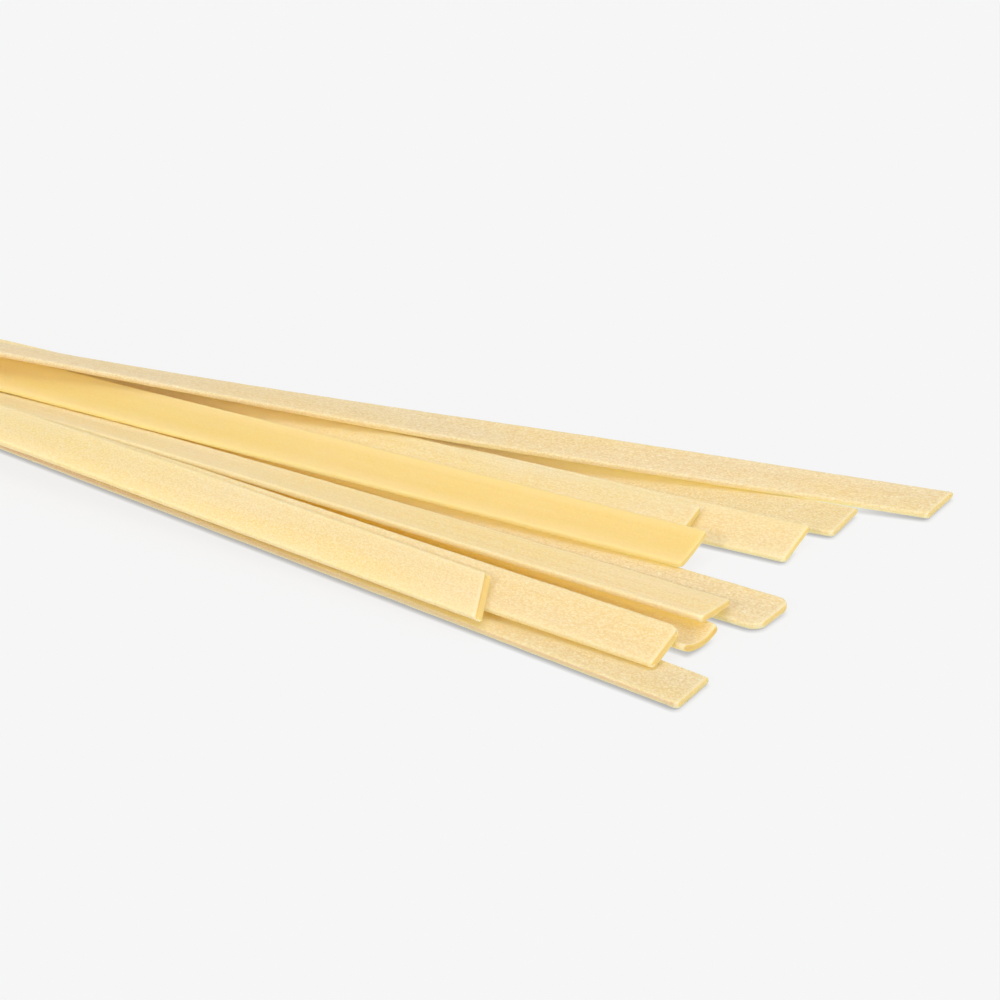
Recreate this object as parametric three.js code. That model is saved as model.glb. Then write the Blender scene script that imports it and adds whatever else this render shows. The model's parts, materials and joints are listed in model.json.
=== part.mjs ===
// A loose handful of long, flat, dry pasta strands, lying as it was put down on a table.
//
// Every strand is one extruded ribbon: flat or slightly curled across its width, a little
// twisted along its length, with rounded long edges and a plain cut at both ends. The strands
// fan out towards +X, where their ends show, and bunch together behind.
// They are laid down one after the other. Each comes to rest like a springy beam, on the table
// and on the strands laid before it, so its heights are worked out, not typed in.

import * as THREE from 'three';

// ---- Driving dimensions (mm, degrees) ----

const STRAND_LENGTH = 257;
const STRAND_WIDTH = 7;
const STRAND_THICKNESS = 0.9;
const EDGE_RADIUS = 0.35; // rounding of the two long edges
const END_SOFTENING = 0.12; // rim broken off round each cut face
const STRAIGHT_LENGTH = 60; // straight this far back from the front end, bowed behind it
const TWIST_LENGTH = 130; // a strand's back lean is reached this far from its front end
const BENDING_LENGTH = 250; // cube root of bending stiffness over weight per length
const CLEARANCE = 0.2; // air left between a strand and the one that carries it

const TAIL_CORNER = 0.6; // corner radius of the back ends
const THINNEST_RIM = 0.3; // share of its thickness that a broken rim keeps at the least
const EDGE_STEPS = 2; // facets of a rounded long edge, in section
const FLAT_COLUMNS = 1; // points across the flat of a strand
const CURL_COLUMNS = 7; // the same across a curled strand
const CORNER_STEPS = 3; // facets of a rounded corner, seen from above
const STATION_PITCH = 22; // distance between the cross-sections of a strand
const REST_STEPS = 64; // steps in which a strand feels for its support
const REST_COLUMNS = 11; // such points across a strand
const TOUCHING = 1e-4; // a strand that sinks in less than this is taken to touch

const PALE = { color: 0xeed9a4, roughness: 0.62, metalness: 0 };
const CREAM = { color: 0xf8e0a4, roughness: 0.58, metalness: 0 };
const GOLDEN = { color: 0xf8d98a, roughness: 0.5, metalness: 0 };

// ---- The strands, in the order in which they were laid down ----
//
// reach, aside  middle of the front end, along X and Y
// heading       direction in which the front end points, turned from +X towards +Y
// tail          how far aside the back end lies
// lean          roll at the front end, positive with the far edge (+Y) raised
// twistFrom     distance from the front end at which the roll starts to change
// tailLean      roll of the back
// curl          angle through which the width is curled up, as in a gutter
// cut           how far the front cut is off square, positive when the far corner leads
// slant         how much further the underside of the front cut reaches than its top
// corners       radius of the far and of the near corner of the front end

const strands = [
  { name: 'outer_near_strand', tone: PALE, reach: 109.1, aside: -15.1, heading: -8.57,
    tail: 23.5, lean: 0, twistFrom: 60, tailLean: 0,
    curl: 0, cut: -2, slant: 0, corners: [0.35, 0.7] },
  { name: 'curled_strand', tone: PALE, reach: 105.75, aside: -5.4, heading: -4.5,
    tail: -1.2, lean: 0, twistFrom: 60, tailLean: -4,
    curl: 75, cut: 10, slant: 0, corners: [0.8, 0.8] },
  { name: 'flat_far_strand', tone: PALE, reach: 109.9, aside: 30.1, heading: 6.5,
    tail: 19, lean: 3.3, twistFrom: 60, tailLean: 2.6,
    curl: 0, cut: 12, slant: 0, corners: [0.3, 0.6] },
  { name: 'round_end_strand', tone: PALE, reach: 110.95, aside: 4.5, heading: -3.4,
    tail: 5.7, lean: 5, twistFrom: 60, tailLean: 4,
    curl: 0, cut: 10, slant: 0, corners: [1.9, 1.6] },
  { name: 'tilted_far_strand', tone: CREAM, reach: 107, aside: 21.2, heading: 2.4,
    tail: 21.5, lean: 13.9, twistFrom: 60, tailLean: 1.8,
    curl: 0, cut: 7, slant: 0, corners: [0.4, 0.6] },
  { name: 'middle_strand', tone: CREAM, reach: 105.5, aside: -0.5, heading: -2.57,
    tail: 0.1, lean: -8, twistFrom: 0, tailLean: -16,
    curl: 0, cut: 3, slant: 0, corners: [0.5, 0.5] },
  { name: 'tucked_strand', tone: CREAM, reach: 93.9, aside: 18.5, heading: 1.7,
    tail: 18.7, lean: 5.5, twistFrom: 60, tailLean: 0.3,
    curl: 0, cut: 0, slant: 0, corners: [0.9, 0.9] },
  { name: 'inner_near_strand', tone: CREAM, reach: 103.7, aside: -10.2, heading: -3.78,
    tail: -0.2, lean: 13, twistFrom: 60, tailLean: 4,
    curl: 0, cut: 0, slant: 0.2, corners: [1.4, 0.5] },
  { name: 'short_front_strand', tone: CREAM, reach: 81.2, aside: -11.9, heading: -5.03,
    tail: -5, lean: 16, twistFrom: 0, tailLean: 2,
    curl: 0, cut: -24, slant: 0.7, corners: [0.3, 0.3] },
  { name: 'golden_strand', tone: GOLDEN, reach: 97.35, aside: 11.5, heading: 1.41,
    tail: 16.7, lean: 12.7, twistFrom: 40, tailLean: 11,
    curl: 12, cut: 5, slant: 0, corners: [0.6, 0.7] },
  { name: 'outer_far_strand', tone: PALE, reach: 118.95, aside: 40.5, heading: 14.2,
    tail: 2.7, lean: 0.2, twistFrom: 40, tailLean: -17,
    curl: 0, cut: 21, slant: 0, corners: [0.25, 0.45] },
];

// ---- Cross-section ----

// Insets from a long edge and the half thicknesses there, from the rim to the flat.
function roundedEdge() {
  const steps = [];
  for (let i = 0; i <= EDGE_STEPS; i += 1) {
    const angle = (i / EDGE_STEPS) * (Math.PI / 2);
    const inset = EDGE_RADIUS * (1 - Math.cos(angle));
    const half = STRAND_THICKNESS / 2 - EDGE_RADIUS * (1 - Math.sin(angle));
    steps.push({ inset, half });
  }
  return steps;
}

// Columns across a strand, from its near edge to its far edge.
function columns(strand, near, far) {
  const edge = roundedEdge();
  const flatColumns = strand.curl > 0 ? CURL_COLUMNS : FLAT_COLUMNS;
  const list = edge.map(({ inset, half }) => ({ across: near + inset, half }));
  const inner = far - near - 2 * EDGE_RADIUS;
  for (let i = 1; i <= flatColumns; i += 1) {
    const across = near + EDGE_RADIUS + (inner * i) / (flatColumns + 1);
    list.push({ across, half: STRAND_THICKNESS / 2 });
  }
  for (const { inset, half } of edge.toReversed()) {
    list.push({ across: far - inset, half });
  }
  return list;
}

// Bends a point of the flat section round the curl and then rolls it by the lean.
function placeInSection(strand, lean, across, up) {
  const curl = THREE.MathUtils.degToRad(strand.curl);
  const point = new THREE.Vector2(across, up);
  if (curl > 0) {
    const radius = STRAND_WIDTH / curl;
    const angle = across / radius;
    point.x = (radius - up) * Math.sin(angle);
    point.y = radius - (radius - up) * Math.cos(angle);
  }
  return point.rotateAround(new THREE.Vector2(), THREE.MathUtils.degToRad(lean));
}

// Share of the twist that a strand has made at a distance back from its front end.
function twisted(strand, back) {
  return THREE.MathUtils.smoothstep(back, strand.twistFrom, TWIST_LENGTH);
}

// Top and underside of a strand's section at a distance back from its front end.
function section(strand, back, near, far, shrink) {
  const lean = THREE.MathUtils.lerp(strand.lean, strand.tailLean, twisted(strand, back));
  const top = [];
  const under = [];
  for (const { across, half } of columns(strand, near, far)) {
    const thick = Math.max(half - shrink, half * THINNEST_RIM);
    top.push(placeInSection(strand, lean, across, thick));
    under.push(placeInSection(strand, lean, across, -thick));
  }
  return { top, under };
}

// ---- Course of a strand, seen from above ----

function straightTail(strand) {
  return strand.aside - STRAND_LENGTH * Math.sin(THREE.MathUtils.degToRad(strand.heading));
}

// Sideways offset from the strand's own straight line: nil in front, a bow behind.
function bow(strand, back) {
  const bent = Math.max(back - STRAIGHT_LENGTH, 0) / (STRAND_LENGTH - STRAIGHT_LENGTH);
  return (strand.tail - straightTail(strand)) * bent * bent;
}

// ---- Laying the strands down ----

// A strand feels for its support at evenly spaced points along it.
const restPoints = Array.from(
  { length: REST_STEPS + 1 },
  (_, i) => (STRAND_LENGTH * i) / REST_STEPS,
);

function toWorld(strand, back, across) {
  const point = new THREE.Vector2(-back, across + bow(strand, back));
  point.rotateAround(new THREE.Vector2(), THREE.MathUtils.degToRad(strand.heading));
  return point.add(new THREE.Vector2(strand.reach, strand.aside));
}

function toStrand(strand, world) {
  const point = world.clone().sub(new THREE.Vector2(strand.reach, strand.aside));
  point.rotateAround(new THREE.Vector2(), THREE.MathUtils.degToRad(-strand.heading));
  const back = -point.x;
  return { back, across: point.y - bow(strand, back) };
}

// Height of a strand's axis at a distance back from its front end.
function axisHeight(heights, back) {
  const place = (back / STRAND_LENGTH) * REST_STEPS;
  const i = Math.min(Math.floor(place), REST_STEPS - 1);
  return THREE.MathUtils.lerp(heights[i], heights[i + 1], place - i);
}

// Height of a section's top or underside at one place across it, or null beyond its edges.
function heightAcross(points, across) {
  for (let i = 1; i < points.length; i += 1) {
    const a = points[i - 1];
    const b = points[i];
    if (across >= a.x && across <= b.x) {
      return THREE.MathUtils.mapLinear(across, a.x, b.x, a.y, b.y);
    }
  }
  return null;
}

// Height that the strands already laid reach at a place on the table.
function pileHeight(laid, world) {
  let height = -Infinity;
  for (const strand of laid) {
    const { back, across } = toStrand(strand, world);
    if (back < 0 || back > STRAND_LENGTH) continue;
    const { top } = section(strand, back, -STRAND_WIDTH / 2, STRAND_WIDTH / 2, 0);
    const up = heightAcross(top, across);
    if (up === null) continue;
    height = Math.max(height, axisHeight(strand.heights, back) + up);
  }
  return height;
}

// How high the strand's axis has to be at each point along it, to clear all that is below.
function neededHeights(strand, laid) {
  return restPoints.map((back) => {
    const { under } = section(strand, back, -STRAND_WIDTH / 2, STRAND_WIDTH / 2, 0);
    let height = -Math.min(...under.map((point) => point.y));
    const near = under[0].x;
    const far = under[under.length - 1].x;
    for (let i = 0; i < REST_COLUMNS; i += 1) {
      const across = near + ((far - near) * i) / (REST_COLUMNS - 1);
      const pile = pileHeight(laid, toWorld(strand, back, across));
      height = Math.max(height, pile + CLEARANCE - heightAcross(under, across));
    }
    return height;
  });
}

// The two places on which a perfectly stiff strand would rest: the lowest straight line above
// all the needed heights touches one in front of the strand's middle and one behind it.
function stiffContacts(needed) {
  const middle = REST_STEPS / 2;
  let best = null;
  for (let a = 0; a <= middle; a += 1) {
    for (let b = Math.ceil(middle + 0.5); b <= REST_STEPS; b += 1) {
      const slope = (needed[b] - needed[a]) / (b - a);
      const clear = needed.every((height, i) => needed[a] + slope * (i - a) >= height - TOUCHING);
      const level = needed[a] + slope * (middle - a);
      if (clear && (best === null || level < best.level)) {
        best = { contacts: [a, b], level };
      }
    }
  }
  return best.contacts;
}

// Stiffness matrix of a springy beam: the sum over its inner points of the squared bend.
function beamMatrix() {
  const matrix = restPoints.map(() => restPoints.map(() => 0));
  const stencil = [1, -2, 1];
  for (let k = 1; k < REST_STEPS; k += 1) {
    for (let i = 0; i < 3; i += 1) {
      for (let j = 0; j < 3; j += 1) {
        matrix[k + i - 1][k + j - 1] += stencil[i] * stencil[j];
      }
    }
  }
  return matrix;
}

// Gaussian elimination with row exchanges.
function solveLinear(matrix, right) {
  const rows = matrix.map((row, i) => [...row, right[i]]);
  const n = rows.length;
  for (let c = 0; c < n; c += 1) {
    let pivot = c;
    for (let r = c + 1; r < n; r += 1) {
      if (Math.abs(rows[r][c]) > Math.abs(rows[pivot][c])) pivot = r;
    }
    [rows[c], rows[pivot]] = [rows[pivot], rows[c]];
    for (let r = c + 1; r < n; r += 1) {
      const factor = rows[r][c] / rows[c][c];
      if (factor === 0) continue;
      for (let k = c; k <= n; k += 1) rows[r][k] -= factor * rows[c][k];
    }
  }
  const solution = new Array(n).fill(0);
  for (let r = n - 1; r >= 0; r -= 1) {
    let sum = rows[r][n];
    for (let k = r + 1; k < n; k += 1) sum -= rows[r][k] * solution[k];
    solution[r] = sum / rows[r][r];
  }
  return solution;
}

// The curve of a springy strand under its own weight, on given contacts.
function bendOver(matrix, load, needed, contacts) {
  const held = (i) => restPoints.map((_, j) => Number(i === j));
  const rows = matrix.map((row, i) => (contacts.has(i) ? held(i) : row));
  const right = needed.map((height, i) => (contacts.has(i) ? height : -load));
  return solveLinear(rows, right);
}

// Adds a contact where the strand would sink in and drops one that would have to pull,
// until the strand rests on what is below it.
function comeToRest(needed) {
  const matrix = beamMatrix();
  const load = (STRAND_LENGTH / REST_STEPS) ** 4 / BENDING_LENGTH ** 3;
  const contacts = new Set(stiffContacts(needed));
  for (;;) {
    const heights = bendOver(matrix, load, needed, contacts);
    const depths = heights.map((height, i) => needed[i] - height);
    const deepest = depths.indexOf(Math.max(...depths));
    if (depths[deepest] > TOUCHING) {
      contacts.add(deepest);
      continue;
    }
    const push = matrix.map((row, i) => row.reduce((sum, k, j) => sum + k * heights[j], load));
    const weakest = [...contacts].reduce((a, b) => (push[b] < push[a] ? b : a));
    if (push[weakest] >= 0 || contacts.size <= 2) return heights;
    contacts.delete(weakest);
  }
}

function layDown(all) {
  const laid = [];
  for (const strand of all) {
    laid.push({ ...strand, heights: comeToRest(neededHeights(strand, laid)) });
  }
  return laid;
}

// ---- The solid of one strand ----

// How far a rounded corner draws an edge in, at a distance from the end.
function cornerInset(radius, fromEnd) {
  if (fromEnd >= radius) return 0;
  return radius - Math.sqrt(radius ** 2 - (radius - fromEnd) ** 2);
}

// Distances of the cross-sections from an end, close together round its corners.
function endStations(radius) {
  const list = [0, END_SOFTENING];
  for (let i = 1; i <= CORNER_STEPS; i += 1) {
    const angle = (i / CORNER_STEPS) * (Math.PI / 2);
    list.push(END_SOFTENING + radius * (1 - Math.cos(angle)));
  }
  return list;
}

function stationList(strand) {
  const front = endStations(Math.max(...strand.corners));
  const rear = endStations(TAIL_CORNER).map((fromEnd) => STRAND_LENGTH - fromEnd);
  const first = front[front.length - 1];
  const last = rear[rear.length - 1];
  const count = Math.round((last - first) / STATION_PITCH);
  const between = [];
  for (let i = 1; i < count; i += 1) {
    between.push(first + ((last - first) * i) / count);
  }
  return [...front, ...between, ...rear.toReversed()];
}

// One closed ring of points round the strand, in the strand's own frame.
function ring(strand, back) {
  const [farCorner, nearCorner] = strand.corners;
  const fromTail = STRAND_LENGTH - back;
  const tailInset = cornerInset(TAIL_CORNER, fromTail);
  const far = STRAND_WIDTH / 2 - cornerInset(farCorner, back) - tailInset;
  const near = -STRAND_WIDTH / 2 + cornerInset(nearCorner, back) + tailInset;
  const atEnd = back === 0 || fromTail === 0;
  const { top, under } = section(strand, back, near, far, atEnd ? END_SOFTENING : 0);
  const toFront = 1 - back / STRAND_LENGTH;
  const skew = Math.tan(THREE.MathUtils.degToRad(strand.cut)) * toFront;
  const rise = axisHeight(strand.heights, back) - strand.heights[0];
  const place = (point, slant) => new THREE.Vector3(
    -back + skew * point.x - slant * toFront,
    bow(strand, back) + point.x,
    point.y + rise,
  );
  const upper = top.map((point) => place(point, strand.slant));
  const lower = under.map((point) => place(point, 0));
  return { upper, lower };
}

// Joins the rings into one closed skin, with a cap of quads on each cut face.
function strandGeometry(strand) {
  const rings = stationList(strand).map((back) => ring(strand, back));
  const width = rings[0].upper.length;
  const around = 2 * width;
  const positions = [];
  for (const { upper, lower } of rings) {
    for (const point of [...upper, ...lower.toReversed()]) {
      positions.push(point.x, point.y, point.z);
    }
  }
  const index = [];
  for (let r = 0; r < rings.length - 1; r += 1) {
    for (let i = 0; i < around; i += 1) {
      const a = r * around + i;
      const b = r * around + ((i + 1) % around);
      index.push(a, b, a + around);
      index.push(b, b + around, a + around);
    }
  }
  const tail = (rings.length - 1) * around;
  for (let i = 0; i < width - 1; i += 1) {
    const a = i;
    const b = i + 1;
    const c = around - 2 - i;
    const d = around - 1 - i;
    index.push(a, d, b, b, d, c);
    index.push(tail + a, tail + b, tail + d, tail + b, tail + c, tail + d);
  }
  const geometry = new THREE.BufferGeometry();
  geometry.setAttribute('position', new THREE.Float32BufferAttribute(positions, 3));
  geometry.setIndex(index);
  geometry.computeVertexNormals();
  return geometry;
}

function strandMesh(strand) {
  const material = new THREE.MeshStandardMaterial(strand.tone);
  const mesh = new THREE.Mesh(strandGeometry(strand), material);
  mesh.name = strand.name;
  mesh.position.set(strand.reach, strand.aside, strand.heights[0]);
  mesh.rotation.z = THREE.MathUtils.degToRad(strand.heading);
  return mesh;
}

// ---- The whole handful, its origin in the middle of its base ----

const handful = new THREE.Group();
for (const strand of layDown(strands)) {
  handful.add(strandMesh(strand));
}
const box = new THREE.Box3().setFromObject(handful, true);
const centre = box.getCenter(new THREE.Vector3());
handful.position.set(-centre.x, -centre.y, -box.min.z);

const part = new THREE.Group();
part.add(handful);

export default part;
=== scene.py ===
# %% [markdown]
# # A loose handful of dry pasta
# Eleven long, flat strands of dry ribbon pasta lie on a pale table, bunched together at one end
# and fanned out at the other. The CAD part already says where every strand lies and how it
# bends, but its strands are plain and evenly coloured. This lesson gives each strand the soft
# edges, the grain and the slightly see-through yellow dough of real dried pasta, and puts the
# handful in soft daylight.

import json
import math

import bmesh
import bpy
import numpy as np
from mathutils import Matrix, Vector
from mathutils.bvhtree import BVHTree


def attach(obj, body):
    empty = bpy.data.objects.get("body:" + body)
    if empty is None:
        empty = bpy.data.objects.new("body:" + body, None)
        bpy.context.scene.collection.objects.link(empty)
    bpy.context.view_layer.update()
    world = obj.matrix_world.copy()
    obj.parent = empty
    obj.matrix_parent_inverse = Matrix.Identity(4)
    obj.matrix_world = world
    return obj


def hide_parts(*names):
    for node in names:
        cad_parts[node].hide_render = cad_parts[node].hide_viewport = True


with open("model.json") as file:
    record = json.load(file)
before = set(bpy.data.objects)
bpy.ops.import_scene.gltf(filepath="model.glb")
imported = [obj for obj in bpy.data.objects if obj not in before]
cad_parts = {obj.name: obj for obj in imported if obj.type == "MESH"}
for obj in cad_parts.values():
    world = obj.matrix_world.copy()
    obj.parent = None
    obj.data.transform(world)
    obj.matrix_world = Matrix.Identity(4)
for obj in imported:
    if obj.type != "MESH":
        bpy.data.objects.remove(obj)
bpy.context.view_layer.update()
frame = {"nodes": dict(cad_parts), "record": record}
slot_of = {row["node"]: row["material_slot"] for row in frame["record"]["subparts"]}

# %% [markdown]
# ## The strands and how they lie
# All strands come out of the same slot of the pasta press, so they share one length, width and
# thickness. What differs is how each was cut and how it came to lie. `front` is the middle of
# the front end on the table, in millimetres, and `heading` the way it points. Behind its
# straight stretch a strand bows sideways until its back end lies at `tail`. `lean` rolls the
# front about the strand's own axis, and the back has rolled to `tail_lean`. `curl` is the angle
# through which the width is bent up. The front cut is off square by `cut`, its underside
# reaches further than its top by `slant`, and `corners` are the radii of its two corners.

# %% Shared sizes of the strands, in millimetres
MM = 0.001
LENGTH = 257.0
WIDTH = 7.0
THICKNESS = 0.9
EDGE_RADIUS = 0.35
CUT_RIM = 0.12
LEAST_EDGE = 0.4  # share of the thickness that stays at the rims of the cuts
BACK_CORNER = 0.6
STRAIGHT = 60.0  # a strand bows behind this stretch
TWISTED_BY = 130.0  # and has its final roll here
ZERO = np.array([28.536, -12.849])  # where the places below count from
print("a strand is", LENGTH, "by", WIDTH, "by", THICKNESS, "mm")


def strand(front, heading, tail, leans, cut, corners, curl=0, slant=0, twist_from=60):
    """The values of one strand, under their names."""
    return {
        "front": np.array(front) + ZERO,
        "heading": math.radians(heading),
        "tail": tail - front[1],
        "leans": [math.radians(lean) for lean in leans],
        "cut": math.radians(cut),
        "corners": corners,
        "curl": math.radians(curl),
        "slant": slant,
        "twist_from": twist_from,
    }


# %% How each strand lies, from the nearest to the last one laid on top
# front, heading, tail, lean and tail_lean, cut, corners, and what only some strands have
STRANDS = {
    "outer_near_strand": strand((109.1, -15.1), -8.57, 23.5, (0, 0), -2, (0.35, 0.7)),
    "curled_strand": strand((105.75, -5.4), -4.5, -1.2, (0, -4), 10, (0.8, 0.8), curl=75),
    # 0.2 mm closer to its neighbour than the solid, so that no light slips through between them
    "flat_far_strand": strand((109.9, 30.3), 6.5, 19, (3.3, 2.6), 12, (0.3, 0.6)),
    "round_end_strand": strand((110.95, 4.5), -3.4, 5.7, (5, 4), 10, (1.9, 1.6)),
    "tilted_far_strand": strand((107, 21.2), 2.4, 21.5, (13.9, 1.8), 7, (0.4, 0.6)),
    "middle_strand": strand((105.5, -0.5), -2.57, 0.1, (-8, -16), 3, (0.5, 0.5), twist_from=0),
    "tucked_strand": strand((93.9, 18.5), 1.7, 18.7, (5.5, 0.3), 0, (0.9, 0.9)),
    "inner_near_strand": strand(
        (103.7, -10.2), -3.78, -0.2, (13, 4), 0, (1.4, 0.5), slant=0.2
    ),
    "short_front_strand": strand(
        (81.2, -11.9), -5.03, -5, (16, 2), -24, (0.3, 0.3), slant=0.7, twist_from=0
    ),
    "golden_strand": strand(
        (97.35, 11.5), 1.41, 16.7, (12.7, 11), 5, (0.6, 0.7), curl=12, twist_from=40
    ),
    "outer_far_strand": strand(
        (118.95, 40.5), 14.2, 2.7, (0.2, -17), 21, (0.25, 0.45), twist_from=40
    ),
}
fronts = [values["front"][1] for values in STRANDS.values()]
print(len(STRANDS), "strands, fanned out over", round(max(fronts) - min(fronts)), "mm")

# %% [markdown]
# ## A blank strand
# A strand is a long bar with rounded edges. It could be a flat plane with a Solidify modifier,
# but its cut ends have to be clean faces of their own, and the grain needs many small faces. So
# the blank is a cube that is cut into even slices along all three axes. It stays a cube here:
# the slices are spread to their real places later, close together where the edges and the cut
# ends are round and wide apart on the flats.

# %% Slice a cube
SLICES_ALONG = 560
SLICES_ACROSS = 28
SLICES_THROUGH = 3
NOTHING = 1e-7  # an edge that changes less than this along an axis doesn't run along it


def slice_cube(slices_by_axis):
    """A unit cube cut into even slices along X, Y and Z."""
    bm = bmesh.new()
    bmesh.ops.create_cube(bm, size=1)
    for axis, slices in enumerate(slices_by_axis):
        along = [e for e in bm.edges if abs(e.verts[0].co[axis] - e.verts[1].co[axis]) > NOTHING]
        bmesh.ops.subdivide_edges(bm, edges=along, cuts=slices - 1, use_grid_fill=True)
    mesh = bpy.data.meshes.new("blank")
    bm.to_mesh(mesh)
    bm.free()
    return mesh


blank = slice_cube((SLICES_ALONG, SLICES_ACROSS, SLICES_THROUGH))
print("blank strand:", len(blank.polygons), "faces")

# %% Read the blank as three shares: along from the front end, across and through
points = np.empty(len(blank.vertices) * 3)
blank.vertices.foreach_get("co", points)
points = points.reshape(-1, 3)
share_along = 0.5 - points[:, 0]
share_across = 2 * points[:, 1]
share_through = 2 * points[:, 2]
print("shares run from", share_across.min(), "to", share_across.max())

# %% [markdown]
# ## Natural unevenness
# Dough that is pressed through a bronze die and dried is never quite even: its faces are finely
# pitted and drawn out into faint ridges, its edges wander, and it breaks with small chips where
# it is cut. A net of seeded random heights, smoothed between its knots, gives all of these, each
# with its own mesh size along and across the strand.

# %% Smooth random heights on a net
rng = np.random.default_rng(11)


def ease(t):
    """Smooth step from 0 to 1."""
    t = np.clip(t, 0, 1)
    return t * t * (3 - 2 * t)


def uneven(x, y, pitch_x, pitch_y):
    """Smooth random heights between -1 and 1 over a net of the given pitch."""
    x = (x - x.min()) / pitch_x
    y = (y - y.min()) / pitch_y
    i, j = x.astype(int), y.astype(int)
    net = rng.uniform(-1, 1, (i.max() + 2, j.max() + 2))
    in_x, in_y = ease(x - i), ease(y - j)
    low = net[i, j] * (1 - in_x) + net[i + 1, j] * in_x
    high = net[i, j + 1] * (1 - in_x) + net[i + 1, j + 1] * in_x
    return low * (1 - in_y) + high * in_y


# %% [markdown]
# ## Shaping the blank
# The slices get their distances from the front end first: fine steps round both cut ends, even
# ones between. Then each slice gets its outline. The columns crowd towards the long edges, where
# the thickness falls away along a quarter circle, and the corners seen from above are drawn in
# the same way.

# %% Distances of the slices from the front end
END_STEPS = np.array([0, 0.02, 0.06, 0.12, 0.2, 0.31, 0.45, 0.62, 0.82, 1.05, 1.32, 1.64, 2.0])
middle = np.linspace(END_STEPS[-1], LENGTH - END_STEPS[-1], SLICES_ALONG + 3 - 2 * len(END_STEPS))
distances = np.concatenate([END_STEPS, middle[1:-1], LENGTH - END_STEPS[::-1]])
back = np.interp(share_along * SLICES_ALONG, np.arange(SLICES_ALONG + 1), distances)
from_end = np.minimum(back, LENGTH - back)
print("slices", round(middle[1] - middle[0], 2), "mm apart along a strand")


# %% Outline of a strand that lies straight and flat
def drawn_in(radius, distance):
    """How far a round of that radius has drawn in an edge, at a distance from its end."""
    short = np.clip(radius - distance, 0, radius)
    return radius - np.sqrt(radius**2 - short**2)


def outline(corners):
    """Place across and half thickness of every point of a strand."""
    back_corner = drawn_in(BACK_CORNER, LENGTH - back)
    far = WIDTH / 2 - drawn_in(corners[0], back) - back_corner
    near = -WIDTH / 2 + drawn_in(corners[1], back) + back_corner
    spread = (1 + np.sin(share_across * math.pi / 2)) / 2
    across = near + (far - near) * spread
    rim = np.minimum(across - near, far - across)
    half = THICKNESS / 2 - drawn_in(EDGE_RADIUS, rim)
    half = np.maximum(half - drawn_in(CUT_RIM, from_end), half * LEAST_EDGE)
    return across, half


# %% Fine pits, dents, ridges, chips and wandering edges, in millimetres
RELIEF = (  # mean depth, and size along and across the strand
    (0.022, 0.9, 0.7),  # pits
    (0.0132, 2.3, 1.7),  # dents
    (0.012, 38, 0.55),  # ridges
)
CHIP_DEPTH, CHIP_WIDTH, CHIP_HEIGHT = 0.05, 0.8, 0.9
EDGE_WANDER, WANDER_LENGTH = 0.03, 30


def relief(across):
    """How far the faces lie below the smooth outline."""
    apart = np.sign(share_through) * WIDTH * 2  # gives top and underside a net each
    depth = 0
    for mean, along, aside in RELIEF:
        depth = depth + mean * (1 + uneven(back, across + apart, along, aside))
    return depth


def chips(across):
    """How far the cut faces lie behind a clean cut."""
    on_cut = from_end == 0
    return on_cut * CHIP_DEPTH * (1 + uneven(across, share_through, CHIP_WIDTH, CHIP_HEIGHT))


def wander():
    """How far a strand's edges stray sideways."""
    return EDGE_WANDER * uneven(back, back * 0, WANDER_LENGTH, 1)


# %% [markdown]
# ## Laying a strand where its CAD solid lies
# The flat strand is curled, rolled, bowed and turned on the table with the same few values as
# the solid. How high each stretch lies depends on what it rests on, and the CAD part has worked
# that out. A ray is dropped on the solid at every few millimetres along the strand's middle, and
# the heights that it finds carry the new strand.

# %% The course of a strand over the table
END_GAP, HEIGHT_STEP = 1.5, 4.0
BENDS = 12  # degree of the smooth curve through the heights
RAY_START = 1.0  # in metres, well above everything
DOWN = Vector((0, 0, -1))


def twist(values, at):
    """Roll of the strand at a distance from its front end."""
    front, rear = values["leans"]
    start = values["twist_from"]
    return front + (rear - front) * ease((at - start) / (TWISTED_BY - start))


def bow(values, at):
    """Sideways bend at a distance from the front end."""
    gone = np.clip(at - STRAIGHT, 0, None) / (LENGTH - STRAIGHT)
    straight_tail = -LENGTH * math.sin(values["heading"])
    return (values["tail"] - straight_tail) * gone**2


def on_table(values, along, aside):
    """Turns a place in the strand's own frame to the part's frame."""
    c, s = math.cos(values["heading"]), math.sin(values["heading"])
    x, y = values["front"]
    return x + along * c - aside * s, y + along * s + aside * c


def heights(name, values):
    """Heights of the strand's axis, read off its CAD solid."""
    mesh = frame["nodes"][name].data
    corners = [v.co for v in mesh.vertices]
    tree = BVHTree.FromPolygons(corners, [p.vertices for p in mesh.polygons])
    stops = np.arange(END_GAP, LENGTH - END_GAP, HEIGHT_STEP)
    found = []
    for stop in stops:
        x, y = on_table(values, -stop, bow(values, stop))
        hit = tree.ray_cast(Vector((x * MM, y * MM, RAY_START)), DOWN)[0]
        found.append(hit.z / MM - THICKNESS / 2 / math.cos(twist(values, stop)))
    smooth = np.polynomial.Polynomial.fit(stops, found, BENDS)
    return smooth(back)


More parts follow.
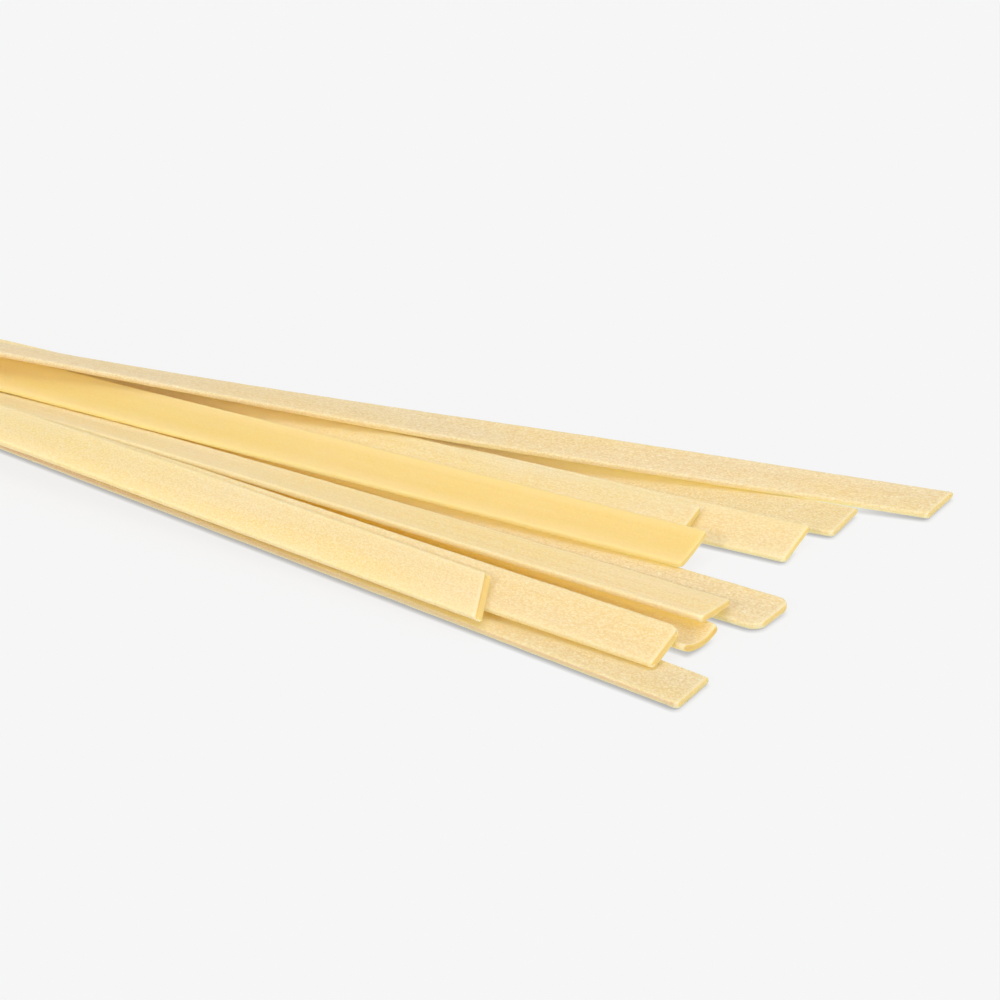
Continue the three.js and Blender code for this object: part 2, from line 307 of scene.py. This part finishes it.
# %% Curl, roll, bow and lift the flat strand
def lay(name, values):
    """Every point of the finished strand in millimetres, and its place on the flat strand."""
    across, half = outline(values["corners"])
    half = half - relief(across)
    up = share_through * half
    at = back + chips(across) * np.where(back < LENGTH / 2, 1, -1)
    flat = np.stack([back, across, up], axis=1)
    if values["curl"]:
        radius = WIDTH / values["curl"]
        across, up = (
            (radius - up) * np.sin(across / radius),
            radius - (radius - up) * np.cos(across / radius),
        )
    lean = twist(values, back)
    sideways = across * np.cos(lean) - up * np.sin(lean)
    lift = across * np.sin(lean) + up * np.cos(lean)
    to_front = 1 - back / LENGTH
    top_share = (1 + share_through) / 2
    along = -at + to_front * (math.tan(values["cut"]) * sideways - values["slant"] * top_share)
    x, y = on_table(values, along, bow(values, back) + sideways + wander())
    z = heights(name, values) + lift
    return np.stack([x, y, np.maximum(z, 0)], axis=1), flat


# %% [markdown]
# ## Dry pasta dough
# Dried durum dough is a warm, matt yellow, and light goes some way into it: where strands shade
# each other the gaps glow amber rather than grey. Subsurface scattering does part of that, and
# dough in sheltered places is painted brighter for the rest. Over the colour lie slow clouds
# from drying, faint streaks that the die drew along the strand, a fine grain, small floury
# flecks and a few pale specks, and the flour gathers towards the long edges. The cut ends have
# lost their floury skin and show the deeper yellow of the dough, with a floury rim just behind
# them. All this could be painted on pictures and unwrapped, but a strand is so long that they
# would be blurred or huge. Noise stays sharp at any size. It is read from where a point lay on
# the flat strand, so it follows every strand along its length.

# %% How dense the patterns are along, across and through a strand, for each millimetre
CLOUDS = (0.05, 0.16, 0.16)
STREAKS = (0.02, 2.4, 2.4)
GRAIN = (3.0, 3.6, 3.6)
FLECKS = (3.4, 5.0, 5.0)
SPECKS = (1.3, 2.0, 2.0)
SEED_SHIFT = (7.3, 3.1, 5.7)  # how far apart the patterns of two strands are read
NOISE, CELLS = "ShaderNodeTexNoise", "ShaderNodeTexVoronoi"
print("clouds about", round(1 / CLOUDS[0]), "mm long, grains", round(1 / GRAIN[0], 2), "mm")


# %% Helpers for the node tree
def pattern(tree, kind, lie, density, seed, **values):
    """A texture node that reads the flat strand, at the density and at a place of its own."""
    mapping = tree.nodes.new("ShaderNodeMapping")
    mapping.inputs["Scale"].default_value = density
    mapping.inputs["Location"].default_value = [seed * shift for shift in SEED_SHIFT]
    tree.links.new(lie, mapping.inputs["Vector"])
    texture = tree.nodes.new(kind)
    texture.inputs["Scale"].default_value = 1
    for key, value in values.items():
        texture.inputs[key].default_value = value
    tree.links.new(mapping.outputs["Vector"], texture.inputs["Vector"])
    return texture


def remap(tree, value, low, high, to_low, to_high):
    """A value brought from one range to another, and kept inside it."""
    node = tree.nodes.new("ShaderNodeMapRange")
    tree.links.new(value, node.inputs["Value"])
    sockets = ("From Min", "From Max", "To Min", "To Max")
    for socket, number in zip(sockets, (low, high, to_low, to_high)):
        node.inputs[socket].default_value = number
    return node.outputs["Result"]


MIX_SHARE, MIX_BASE, MIX_OVER, MIX_RESULT = 0, 6, 7, 2  # sockets of a Mix node for colours


def tint(tree, share, base, colour):
    """Mixes a colour into the base by a share."""
    node = tree.nodes.new("ShaderNodeMix")
    node.data_type = "RGBA"
    tree.links.new(share, node.inputs[MIX_SHARE])
    tree.links.new(base, node.inputs[MIX_BASE])
    node.inputs[MIX_OVER].default_value = (*colour, 1)
    return node.outputs[MIX_RESULT]


def reckon(tree, operation, *values):
    """A Math node: the product of two values, or one value without its sign."""
    node = tree.nodes.new("ShaderNodeMath")
    node.operation = operation
    for socket, value in zip(node.inputs, values):
        tree.links.new(value, socket)
    return node.outputs["Value"]


def hearts(tree, cells, width, rare, blend=0.2):
    """A share that is 1 in the hearts of some of the cells: the fewer, the higher `rare`."""
    near = remap(tree, cells.outputs["Distance"], width, width / 2, 0, 1)
    apart = tree.nodes.new("ShaderNodeSeparateColor")
    tree.links.new(cells.outputs["Color"], apart.inputs["Color"])
    chosen = remap(tree, apart.outputs["Red"], rare, rare + blend, 0, 1)
    return reckon(tree, "MULTIPLY", near, chosen)


# %% [markdown]
# ### Coats of colour
# The dough is painted in coats, one over the other. Each coat is steered by a pattern, or by a
# place on the flat strand: how far behind the cut, how far to the side of the middle, how far
# above or below it, or how sheltered. It starts where its steering value reaches one number and
# is full where it reaches another.

# %% The coats of the dough, from the bottom up
SPECK = (0.96, 0.9, 0.74)
SHELTER_REACH = 3.0  # a neighbour nearer than this, in millimetres, shelters the dough
SHELTER_SAMPLES = 6


def coats(tree, lie, grain, seed, look):
    """For each coat: what steers it, where it starts and is full, its strength and colour."""
    clouds = pattern(tree, NOISE, lie, CLOUDS, seed, Detail=2).outputs["Fac"]
    streaks = pattern(tree, NOISE, lie, STREAKS, seed, Detail=3).outputs["Fac"]
    flecks = hearts(tree, pattern(tree, CELLS, lie, FLECKS, seed), width=0.6, rare=0.25)
    specks = hearts(tree, pattern(tree, CELLS, lie, SPECKS, seed), width=0.4, rare=0.8)
    place = tree.nodes.new("ShaderNodeSeparateXYZ")
    tree.links.new(lie, place.inputs["Vector"])
    behind_cut = place.outputs["X"]
    aside = reckon(tree, "ABSOLUTE", place.outputs["Y"])
    above = reckon(tree, "ABSOLUTE", place.outputs["Z"])
    shelter = tree.nodes.new("ShaderNodeAmbientOcclusion")
    shelter.inputs["Distance"].default_value = SHELTER_REACH * MM
    shelter.samples = SHELTER_SAMPLES
    return [
        (clouds, 0.35, 0.65, 1, look["warm"]),
        (streaks, 0.45, 0.7, look["streaky"], look["deep"]),
        (grain, 0.5, 0.3, look["grainy"], look["deep"]),
        (grain, 0.52, 0.72, look["floury"], look["flour"]),
        (flecks, 0, 1, look["flecked"], look["fleck"]),
        (specks, 0, 1, look["specked"], SPECK),
        (aside, 1.4, 3.4, look["dusted"], look["flour"]),
        # painted shade: the thin side faces are drawn darker, as shade falls on them; golden
        # strands get paler sides, painted light
        (above, 0.36, 0.2, look["side_shading"], look["side"]),
        (behind_cut, 0.7, 0.25, look["rimmed"], look["flour"]),
        (behind_cut, 0.2, 0.06, 1, look["cut"]),
        # painted light: sheltered dough is drawn brighter and more amber, for light that has come
        # through the strands
        (shelter.outputs["AO"], 0.75, 0.25, 1, look["glow"]),
    ]


# %% The dough material
GRAIN_SPAN = (0.3, 0.7)  # what the grain's noise mostly stays between
ROUGHNESS = (0.42, 0.62)  # at those two
GRAIN_DEPTH = 0.06
SEE_THROUGH = 0.65
LIGHT_REACH = 1.6  # how far light goes into the dough, in millimetres
REACH_BY_COLOUR = (1.0, 0.88, 0.58)  # red goes deepest
SHINE = 0.35


def dough(name, seed, look):
    """Dry pasta with the colours and the dustiness of one strand."""
    material = bpy.data.materials.new(name)
    material.use_nodes = True
    tree = material.node_tree
    shader = tree.nodes["Principled BSDF"]
    read = tree.nodes.new("ShaderNodeAttribute")
    read.attribute_name = "lie"
    lie = read.outputs["Vector"]
    grain = pattern(tree, NOISE, lie, GRAIN, seed, Detail=3).outputs["Fac"]
    ground = tree.nodes.new("ShaderNodeRGB")
    colour = ground.outputs["Color"]
    colour.default_value = (*look["base"], 1)
    for steer, start, full, strength, paint in coats(tree, lie, grain, seed, look):
        colour = tint(tree, remap(tree, steer, start, full, 0, strength), colour, paint)
    tree.links.new(colour, shader.inputs["Base Color"])
    tree.links.new(remap(tree, grain, *GRAIN_SPAN, *ROUGHNESS), shader.inputs["Roughness"])
    bump = tree.nodes.new("ShaderNodeBump")
    bump.inputs["Strength"].default_value = look["bumpy"]
    bump.inputs["Distance"].default_value = GRAIN_DEPTH * MM
    tree.links.new(grain, bump.inputs["Height"])
    tree.links.new(bump.outputs["Normal"], shader.inputs["Normal"])
    shader.inputs["Subsurface Weight"].default_value = SEE_THROUGH
    shader.inputs["Subsurface Radius"].default_value = REACH_BY_COLOUR
    shader.inputs["Subsurface Scale"].default_value = LIGHT_REACH * MM
    shader.inputs["Specular IOR Level"].default_value = SHINE
    return material


# %% Colours of the three kinds of strand, as linear light
# side is the painted shade of the thin side faces (painted light on golden strands), and glow the
# painted light of sheltered dough
PALE = {
    "base": (0.785, 0.62, 0.36), "warm": (0.8, 0.605, 0.285), "deep": (0.66, 0.45, 0.19),
    "flour": (0.88, 0.74, 0.5), "fleck": (0.93, 0.82, 0.6), "side": (0.66, 0.43, 0.19),
    "cut": (0.84, 0.55, 0.19), "glow": (0.96, 0.83, 0.45),
    "streaky": 0.25, "grainy": 0.5, "floury": 0.6, "flecked": 0.5,
    "specked": 0.5, "dusted": 0.15, "side_shading": 0.2, "rimmed": 0.6, "bumpy": 0.6,
}
CREAM = {
    "base": (0.865, 0.665, 0.36), "warm": (0.87, 0.65, 0.275), "deep": (0.76, 0.52, 0.2),
    "flour": (0.92, 0.77, 0.5), "fleck": (0.95, 0.84, 0.6), "side": (0.7, 0.45, 0.18),
    "cut": (0.9, 0.61, 0.22), "glow": (0.97, 0.84, 0.45),
    "streaky": 0.2, "grainy": 0.4, "floury": 0.5, "flecked": 0.4,
    "specked": 0.3, "dusted": 0.25, "side_shading": 0.2, "rimmed": 0.5, "bumpy": 0.45,
}
GOLDEN = {
    "base": (0.81, 0.6, 0.205), "warm": (0.82, 0.61, 0.235), "deep": (0.8, 0.5, 0.125),
    "flour": (0.9, 0.68, 0.32), "fleck": (0.92, 0.74, 0.4), "side": (0.88, 0.68, 0.34),
    "cut": (0.92, 0.63, 0.23), "glow": (0.97, 0.8, 0.36),
    "streaky": 0.15, "grainy": 0.2, "floury": 0.25, "flecked": 0.1,
    "specked": 0.05, "dusted": 0.55, "side_shading": 0.2, "rimmed": 0.3, "bumpy": 0.25,
}
LOOKS = {"pale_pasta": PALE, "cream_pasta": CREAM, "golden_pasta": GOLDEN}
OWN = {  # what sets single strands apart from the rest of their kind
    # painted shade: its near side is drawn darker still, as it lies in the shade under the
    # strands above it
    "outer_near_strand": {"side": (0.62, 0.39, 0.24), "side_shading": 0.7},
    # painted shade and light: the sheltered hollow of its curl is drawn a deeper amber
    "curled_strand": {"glow": (0.95, 0.77, 0.31), "cut": (0.8, 0.5, 0.14)},
    # painted shade: these two forward-leaning strands are drawn a little darker, to even out the
    # extra lamp light on their tops
    "tilted_far_strand": {"base": (0.8, 0.625, 0.345), "warm": (0.81, 0.625, 0.31)},
    "inner_near_strand": {"base": (0.83, 0.63, 0.32), "warm": (0.84, 0.635, 0.29)},
    "middle_strand": {"streaky": 0.4},
}
print("doughs:", ", ".join(LOOKS))

# %% [markdown]
# ## Making the strands
# Each strand is a copy of the blank with its points laid in place. It stands for its CAD node,
# rides on the handful's one body, and takes its finish from the slot that the record gives.


# %% Build one strand
def build(name, values, seed):
    """The finished strand as a Blender object."""
    mesh = blank.copy()
    mesh.name = name.replace("_strand", "_pasta")
    places, flat = lay(name, values)
    mesh.vertices.foreach_set("co", (places * MM).ravel())
    mesh.attributes.new("lie", "FLOAT_VECTOR", "POINT").data.foreach_set("vector", flat.ravel())
    mesh.shade_smooth()
    slot = slot_of[name]
    mesh.materials.append(dough(mesh.name, seed, LOOKS[slot] | OWN.get(name, {})))
    piece = bpy.data.objects.new(mesh.name, mesh)
    bpy.context.scene.collection.objects.link(piece)
    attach(piece, "root")
    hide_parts(name)
    return piece


for seed, (name, values) in enumerate(STRANDS.items()):
    piece = build(name, values, seed)
    size = [round(v * 1000, 1) for v in piece.dimensions]
    print(piece.name, size, "mm,", len(piece.data.polygons), "faces")

# %% [markdown]
# ## Table and light
# The handful lies on a plain, nearly white table that runs past the picture on every side, and
# darkens a little where the strands keep the light off it. The light is that of a bright room.
# An even white surround fills the shadows, and a broad lamp above gives the soft shade under
# each strand. A narrow lamp low in front shines on the near edges and in under the upper
# strands, and a wide one on the right lights the cut ends.

# %% The table
TABLE_SIZE = 20.0
TABLE_GREY = 0.1
GLOW, SHADED_GLOW = 0.812, 0.4  # of the bare table, and close beside a strand
SHADE_REACH = 0.85
SHADE_SAMPLES = 16
OPENNESS = (0.35, 0.97)  # of a spot in full shade, and of one that is quite free
SHADE_SIDE = (0.35, 0.65, 0.67)  # a strand on this side of a spot keeps the light off it
bm = bmesh.new()
bmesh.ops.create_grid(bm, x_segments=1, y_segments=1, size=TABLE_SIZE / 2)
table_mesh = bpy.data.meshes.new("table_top")
bm.to_mesh(table_mesh)
bm.free()
table_paint = bpy.data.materials.new("table_paint")
table_paint.use_nodes = True
paint_tree = table_paint.node_tree
paint = paint_tree.nodes["Principled BSDF"]
paint.inputs["Base Color"].default_value = (TABLE_GREY, TABLE_GREY, TABLE_GREY, 1)
paint.inputs["Roughness"].default_value = 1
paint.inputs["Specular IOR Level"].default_value = 0
paint.inputs["Emission Color"].default_value = (1, 1, 1, 1)
towards = paint_tree.nodes.new("ShaderNodeCombineXYZ")
for axis, part in zip("XYZ", SHADE_SIDE):
    towards.inputs[axis].default_value = part
contact = paint_tree.nodes.new("ShaderNodeAmbientOcclusion")
contact.inputs["Distance"].default_value = SHADE_REACH * MM
contact.samples = SHADE_SAMPLES
paint_tree.links.new(towards.outputs["Vector"], contact.inputs["Normal"])
# painted shadow: the table's own glow is dimmed where a strand stands close, which draws the thin
# shadow along the strands
lit = remap(paint_tree, contact.outputs["AO"], *OPENNESS, SHADED_GLOW, GLOW)
paint_tree.links.new(lit, paint.inputs["Emission Strength"])
table_mesh.materials.append(table_paint)
table = bpy.data.objects.new("table_top", table_mesh)
bpy.context.scene.collection.objects.link(table)
print("table", TABLE_SIZE, "m wide")

# %% Even light from all round, and four lamps
ROOM_LIGHT = 0.56
LAMPS = {  # strength, the way the light goes, and how soft it is, in degrees
    "top_lamp": (0.95, (0, 0.1, -1), 45),
    "back_lamp": (0.2, (-0.1, -1, -1.7), 25),
    "front_lamp": (0.75, (0.25, 0.93, -0.5), 7),
    "side_lamp": (0.7, (-0.93, 0.3, -0.3), 50),
}
BOUNCES, DIFFUSE_BOUNCES = 24, 12
world = bpy.data.worlds.new("room")
world.use_nodes = True
surround = world.node_tree.nodes["Background"]
surround.inputs["Color"].default_value = (1, 1, 1, 1)
surround.inputs["Strength"].default_value = ROOM_LIGHT
bpy.context.scene.world = world


def broad_lamp(name, strength, shine, softness):
    """A lamp as far off as the sun, so that it lights the whole table evenly."""
    lamp = bpy.data.lights.new(name, "SUN")
    lamp.energy = strength
    lamp.angle = math.radians(softness)
    lamp_object = bpy.data.objects.new(name, lamp)
    lamp_object.rotation_euler = Vector(shine).to_track_quat("-Z", "Y").to_euler()
    bpy.context.scene.collection.objects.link(lamp_object)


for name, (strength, shine, softness) in LAMPS.items():
    broad_lamp(name, strength, shine, softness)
bpy.context.scene.view_settings.view_transform = "Standard"
bpy.context.scene.cycles.max_bounces = BOUNCES
bpy.context.scene.cycles.diffuse_bounces = DIFFUSE_BOUNCES
print("light from the room", ROOM_LIGHT, "and from", len(LAMPS), "lamps")

# %% [markdown]
# ## Camera
# A fairly long lens looks down on the fanned ends from the near right, so the strands hardly
# narrow with distance. The bunched ends run out of the picture on the left.

# %% The camera
LENS, FILM_WIDTH = 85, 36  # in millimetres
CAMERA_AT = (0.22296, -0.2343, 0.1414)
CAMERA_TILT, CAMERA_TURN = 62.3, 28  # degrees up from straight down, and to the left
camera = bpy.data.cameras.new("camera")
camera.lens = LENS
camera.sensor_width = FILM_WIDTH
camera_object = bpy.data.objects.new("camera", camera)
camera_object.location = CAMERA_AT
camera_object.rotation_euler = (math.radians(CAMERA_TILT), 0, math.radians(CAMERA_TURN))
bpy.context.scene.collection.objects.link(camera_object)
bpy.context.scene.camera = camera_object
print("camera", round(CAMERA_AT[2] / MM), "mm above the table")
